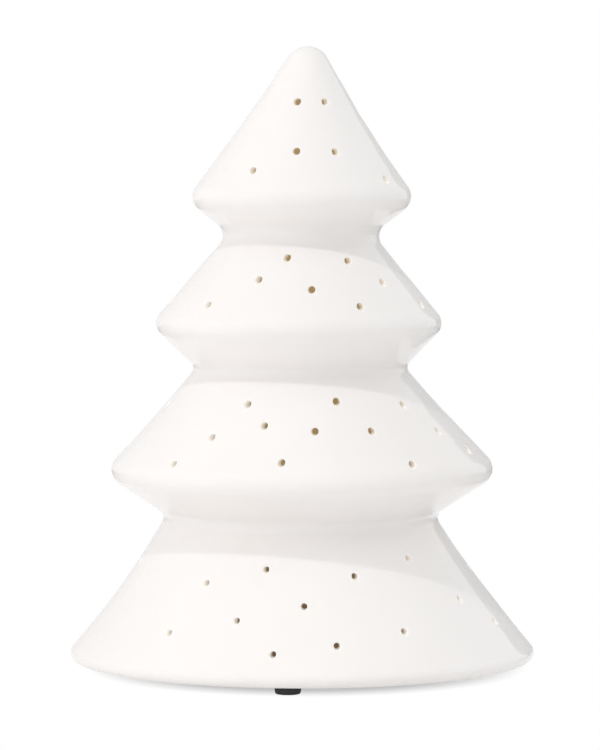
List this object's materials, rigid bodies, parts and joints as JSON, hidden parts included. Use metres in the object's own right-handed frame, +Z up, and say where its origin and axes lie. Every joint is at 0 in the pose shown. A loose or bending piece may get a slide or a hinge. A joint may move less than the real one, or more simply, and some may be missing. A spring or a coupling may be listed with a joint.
{
  "type": "ceramic christmas tree",
  "caption": "Hollow white glazed ceramic tree with stepped flared tiers, pierced by small round holes, on rubber feet, lit from inside by a battery light unit in its base.",
  "frame": {"origin": "on the tree's axis, in the floor plane under the rubber feet", "axes": "+Z up along the tree's axis, -Y towards the viewer of the picture, +X to the viewer's right"},
  "size_m": [0.1794, 0.1794, 0.2396],
  "materials": {
    "glaze": "gloss white glaze",
    "foot_rubber": "matt dark rubber",
    "silicone": "grey silicone",
    "white_plastic": "moulded, satin",
    "dark_plastic": "moulded, matt",
    "cell_can": "printed sleeve",
    "nickel": "nickel plated",
    "board_green": "solder mask",
    "chip_black": "moulded epoxy",
    "can_metal": "drawn can",
    "led_lens": "clear epoxy",
    "reflector_white": "gloss white",
    "red_insulation": "insulation",
    "black_insulation": "insulation",
    "yellow_insulation": "insulation",
    "white_insulation": "insulation"
  },
  "bodies": {
    "tree": {"tier_1": "glaze", "tier_2": "glaze", "tier_3": "glaze", "tier_4": "glaze", "foot_1": "foot_rubber", "foot_2": "foot_rubber", "foot_3": "foot_rubber", "seal_ring": "silicone", "battery_housing": "white_plastic", "cell_1": "cell_can", "cell_2": "cell_can", "cell_3": "cell_can", "contact_spring_1": "nickel", "contact_spring_2": "nickel", "contact_spring_3": "nickel", "negative_terminal": "nickel", "positive_terminal": "nickel", "bridge_near": "nickel", "bridge_far": "nickel", "switch_body": "nickel", "circuit_board": "board_green", "led_1": "led_lens", "led_2": "led_lens", "led_3": "led_lens", "timer_chip": "chip_black", "capacitor": "can_metal", "resistors": "chip_black", "board_screws": "nickel", "housing_cover": "white_plastic", "cover_screws": "nickel", "reflector": "reflector_white", "black_wire": "black_insulation", "red_wire": "red_insulation", "timer_wire": "yellow_insulation", "on_wire": "white_insulation"},
    "cover": {"battery_cover": "white_plastic"},
    "knob": {"switch_knob": "dark_plastic"}
  },
  "joints": [
    {"name": "cover_twist", "type": "hinge", "parent": "tree", "child": "cover", "pos_m": [0, 0, 0.0025], "axis": [0, 0, -1], "range_deg": [0, 30]},
    {"name": "switch_slide", "type": "slide", "parent": "tree", "child": "knob", "axis": [1, 0, 0], "range_m": [0, 0.004]}
  ]
}
